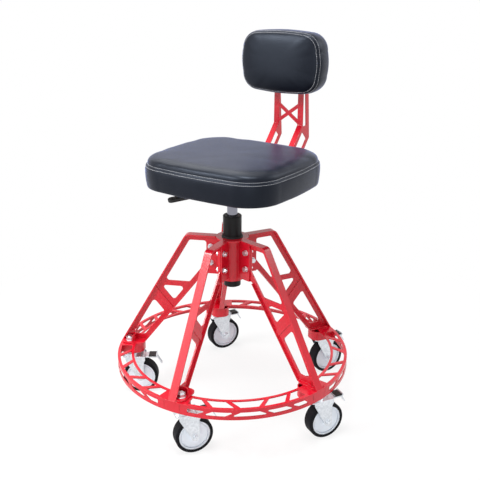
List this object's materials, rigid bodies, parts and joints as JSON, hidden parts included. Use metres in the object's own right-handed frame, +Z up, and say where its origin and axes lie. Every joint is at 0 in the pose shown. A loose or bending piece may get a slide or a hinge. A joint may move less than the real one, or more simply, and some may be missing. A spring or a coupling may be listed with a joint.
{
  "type": "workshop stool",
  "caption": "Workshop stool with padded seat and backrest on a gas lift, truss-cut sheet legs, a chevron-cut foot ring and braked casters.",
  "frame": {"origin": "on the floor, under the axis of the gas lift column", "axes": "+Z up along the column, the seat faces -Y, +X is to the right of the seat seen from the front"},
  "size_m": [0.663, 0.6645, 1.008],
  "materials": {
    "red_powder_coat": "satin powder coat",
    "black_paint": "satin black paint",
    "black_plastic": "fine moulded texture",
    "zinc": "bright zinc plating",
    "chrome": "polished chrome",
    "vinyl": "grained black vinyl with pale double stitching",
    "plywood": "plain plywood",
    "tread_rubber": "matte rubber",
    "wheel_plastic": "moulded plastic"
  },
  "bodies": {
    "base": {"hub": "red_powder_coat", "leg_1": "red_powder_coat", "leg_2": "red_powder_coat", "leg_3": "red_powder_coat", "leg_4": "red_powder_coat", "leg_5": "red_powder_coat", "foot_ring": "red_powder_coat", "foot_bracket_1": "red_powder_coat", "foot_bracket_2": "red_powder_coat", "foot_bracket_3": "red_powder_coat", "foot_bracket_4": "red_powder_coat", "foot_bracket_5": "red_powder_coat", "hub_bolts": "zinc", "hub_nuts": "zinc", "caster_stems": "zinc", "caster_nuts": "zinc", "gas_tube": "black_paint", "column_collar": "black_plastic", "guide_bush": "black_plastic"},
    "piston": {"piston_rod": "chrome", "thrust_bearing": "zinc", "rod_clip": "zinc"},
    "seat": {"pressure_tube": "chrome", "seat_plate": "black_paint", "seat_bolts": "zinc", "seat_board": "plywood", "seat_cushion": "vinyl", "lever_pin": "zinc", "backrest_bracket": "red_powder_coat", "backrest_screws": "zinc", "backrest_board": "plywood", "backrest_pad": "vinyl"},
    "lever": {"height_lever": "black_paint", "lever_grip": "black_plastic"},
    "valve": {"valve_pin": "zinc"},
    "caster_fork_1": {"fork_1": "zinc", "wheel_axle_1": "zinc"},
    "caster_wheel_1": {"wheel_core_1": "wheel_plastic", "wheel_tread_1": "tread_rubber"},
    "caster_pedal_1": {"brake_pedal_1": "zinc"},
    "caster_fork_2": {"fork_2": "zinc", "wheel_axle_2": "zinc"},
    "caster_wheel_2": {"wheel_core_2": "wheel_plastic", "wheel_tread_2": "tread_rubber"},
    "caster_pedal_2": {"brake_pedal_2": "zinc"},
    "caster_fork_3": {"fork_3": "zinc", "wheel_axle_3": "zinc"},
    "caster_wheel_3": {"wheel_core_3": "wheel_plastic", "wheel_tread_3": "tread_rubber"},
    "caster_pedal_3": {"brake_pedal_3": "zinc"},
    "caster_fork_4": {"fork_4": "zinc", "wheel_axle_4": "zinc"},
    "caster_wheel_4": {"wheel_core_4": "wheel_plastic", "wheel_tread_4": "tread_rubber"},
    "caster_pedal_4": {"brake_pedal_4": "zinc"},
    "caster_fork_5": {"fork_5": "zinc", "wheel_axle_5": "zinc"},
    "caster_wheel_5": {"wheel_core_5": "wheel_plastic", "wheel_tread_5": "tread_rubber"},
    "caster_pedal_5": {"brake_pedal_5": "zinc"}
  },
  "joints": [
    {"name": "seat_swivel", "type": "hinge", "parent": "base", "child": "piston", "pos_m": [0, 0, 0.357], "axis": [0, 0, 1], "continuous": true},
    {"name": "seat_height", "type": "slide", "parent": "piston", "child": "seat", "axis": [0, 0, 1], "range_m": [-0.035, 0.085]},
    {"name": "lever_lift", "type": "hinge", "parent": "seat", "child": "lever", "pos_m": [-0.01673, -0.01858, 0.6216], "axis": [-0.7431, 0.6691, 0], "range_deg": [0, 6], "stiffness_Nm_per_rad": 1.5, "springref_deg": -5.73},
    {"name": "valve_press", "type": "slide", "parent": "seat", "child": "valve", "axis": [0, 0, 1], "range_m": [-0.003, 0]},
    {"name": "caster_swivel_1", "type": "hinge", "parent": "base", "child": "caster_fork_1", "pos_m": [0.04476, -0.29192, 0.117], "axis": [0, 0, 1], "continuous": true},
    {"name": "wheel_roll_1", "type": "hinge", "parent": "caster_fork_1", "child": "caster_wheel_1", "pos_m": [0.06082, -0.26898, 0.05], "axis": [-0.8192, 0.5736, 0], "continuous": true},
    {"name": "brake_press_1", "type": "hinge", "parent": "caster_fork_1", "child": "caster_pedal_1", "pos_m": [0.06541, -0.26243, 0.112], "axis": [-0.8192, 0.5736, 0], "range_deg": [0, 10]},
    {"name": "caster_swivel_2", "type": "hinge", "parent": "base", "child": "caster_fork_2", "pos_m": [0.29146, -0.04764, 0.117], "axis": [0, 0, 1], "continuous": true},
    {"name": "wheel_roll_2", "type": "hinge", "parent": "caster_fork_2", "child": "caster_wheel_2", "pos_m": [0.30546, -0.02339, 0.05], "axis": [-0.866, 0.5, 0], "continuous": true},
    {"name": "brake_press_2", "type": "hinge", "parent": "caster_fork_2", "child": "caster_pedal_2", "pos_m": [0.30946, -0.01646, 0.112], "axis": [-0.866, 0.5, 0], "range_deg": [0, 10]},
    {"name": "caster_swivel_3", "type": "hinge", "parent": "base", "child": "caster_fork_3", "pos_m": [0.13538, 0.26248, 0.117], "axis": [0, 0, 1], "continuous": true},
    {"name": "wheel_roll_3", "type": "hinge", "parent": "caster_fork_3", "child": "caster_wheel_3", "pos_m": [0.14895, 0.28697, 0.05], "axis": [-0.8746, 0.4848, 0], "continuous": true},
    {"name": "brake_press_3", "type": "hinge", "parent": "caster_fork_3", "child": "caster_pedal_3", "pos_m": [0.15283, 0.29396, 0.112], "axis": [-0.8746, 0.4848, 0], "range_deg": [0, 10]},
    {"name": "caster_swivel_4", "type": "hinge", "parent": "base", "child": "caster_fork_4", "pos_m": [-0.2078, 0.20986, 0.117], "axis": [0, 0, 1], "continuous": true},
    {"name": "wheel_roll_4", "type": "hinge", "parent": "caster_fork_4", "child": "caster_wheel_4", "pos_m": [-0.19422, 0.23435, 0.05], "axis": [-0.8746, 0.4848, 0], "continuous": true},
    {"name": "brake_press_4", "type": "hinge", "parent": "caster_fork_4", "child": "caster_pedal_4", "pos_m": [-0.19034, 0.24135, 0.112], "axis": [-0.8746, 0.4848, 0], "range_deg": [0, 10]},
    {"name": "caster_swivel_5", "type": "hinge", "parent": "base", "child": "caster_fork_5", "pos_m": [-0.2638, -0.13278, 0.117], "axis": [0, 0, 1], "continuous": true},
    {"name": "wheel_roll_5", "type": "hinge", "parent": "caster_fork_5", "child": "caster_wheel_5", "pos_m": [-0.24059, -0.11712, 0.05], "axis": [-0.5592, 0.829, 0], "continuous": true},
    {"name": "brake_press_5", "type": "hinge", "parent": "caster_fork_5", "child": "caster_pedal_5", "pos_m": [-0.23396, -0.11265, 0.112], "axis": [-0.5592, 0.829, 0], "range_deg": [0, 10]}
  ],
  "couplings": [
    {"joint": "valve_press", "follows": "lever_lift", "m_per_rad": -0.025}
  ]
}
